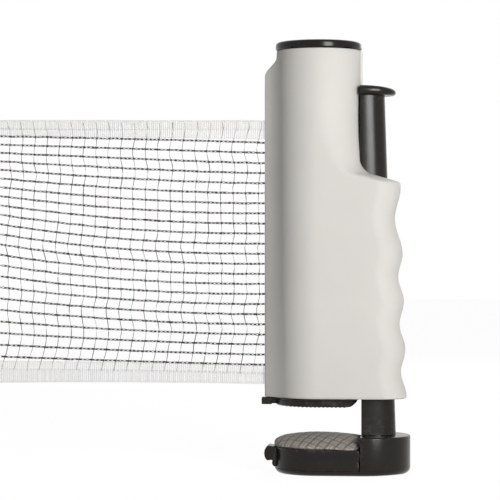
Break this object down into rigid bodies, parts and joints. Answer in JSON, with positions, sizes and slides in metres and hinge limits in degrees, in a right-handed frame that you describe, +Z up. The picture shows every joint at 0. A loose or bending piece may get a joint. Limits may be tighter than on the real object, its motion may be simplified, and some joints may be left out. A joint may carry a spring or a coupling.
{
  "type": "table tennis net clamp",
  "caption": "Clamp post for a table tennis net: sprung sliding jaw with rubber pads, finger grip, and a net that winds onto a roller in the tube.",
  "frame": {"origin": "on the axis of the roller tube, in the face of the upper jaw's pad, which is the table's top face", "axes": "+Z up along the tube, -X towards the net, +X towards the hand grip, -Y the front"},
  "size_m": [0.2278, 0.046, 0.2294],
  "materials": {
    "pale_plastic": "satin moulded",
    "black_plastic": "satin moulded",
    "gloss_black": "polished",
    "pad_rubber": "diamond grooved",
    "dark_rubber": "ribbed",
    "spring_steel": "bright",
    "net_twine": "twisted twine",
    "white_tape": "woven tape",
    "inner_plastic": "moulded"
  },
  "bodies": {
    "housing": {"housing_body": "pale_plastic", "top_cap": "gloss_black", "upper_jaw": "black_plastic", "upper_pad": "dark_rubber", "column_guide": "black_plastic", "plate_screw_front": "spring_steel", "plate_screw_rear": "spring_steel", "roller_axle": "spring_steel", "spring_arbor": "spring_steel", "spring_seat": "spring_steel", "clamp_spring": "spring_steel"},
    "clamp": {"clamp_column": "black_plastic", "lower_jaw": "black_plastic", "pad_carrier": "black_plastic", "lower_pad": "pad_rubber", "jaw_screw_front": "spring_steel", "jaw_screw_rear": "spring_steel"},
    "roller": {"roller_drum": "inner_plastic", "drum_plug_top": "inner_plastic", "drum_plug_bottom": "inner_plastic", "net_roll": "net_twine", "rewind_spring": "spring_steel"},
    "net": {"net_mesh": "net_twine", "top_tape": "white_tape", "bottom_tape": "white_tape", "net_end_bar": "black_plastic"}
  },
  "joints": [
    {"name": "clamp_slide", "type": "slide", "parent": "housing", "child": "clamp", "axis": [0, 0, -1], "range_m": [0, 0.032], "stiffness_N_per_m": 1200, "springref_m": -0.02, "deforming": ["clamp_spring"]},
    {"name": "net_pull", "type": "slide", "parent": "housing", "child": "net", "axis": [-1, 0, 0], "range_m": [0, 0.012], "stiffness_N_per_m": 20, "springref_m": -0.15},
    {"name": "roller_spin", "type": "hinge", "parent": "housing", "child": "roller", "pos_m": [0, 0, 0], "axis": [0, 0, 1], "range_deg": [0, 46]}
  ],
  "couplings": [
    {"joint": "roller_spin", "follows": "net_pull", "rad_per_m": 66.667}
  ]
}
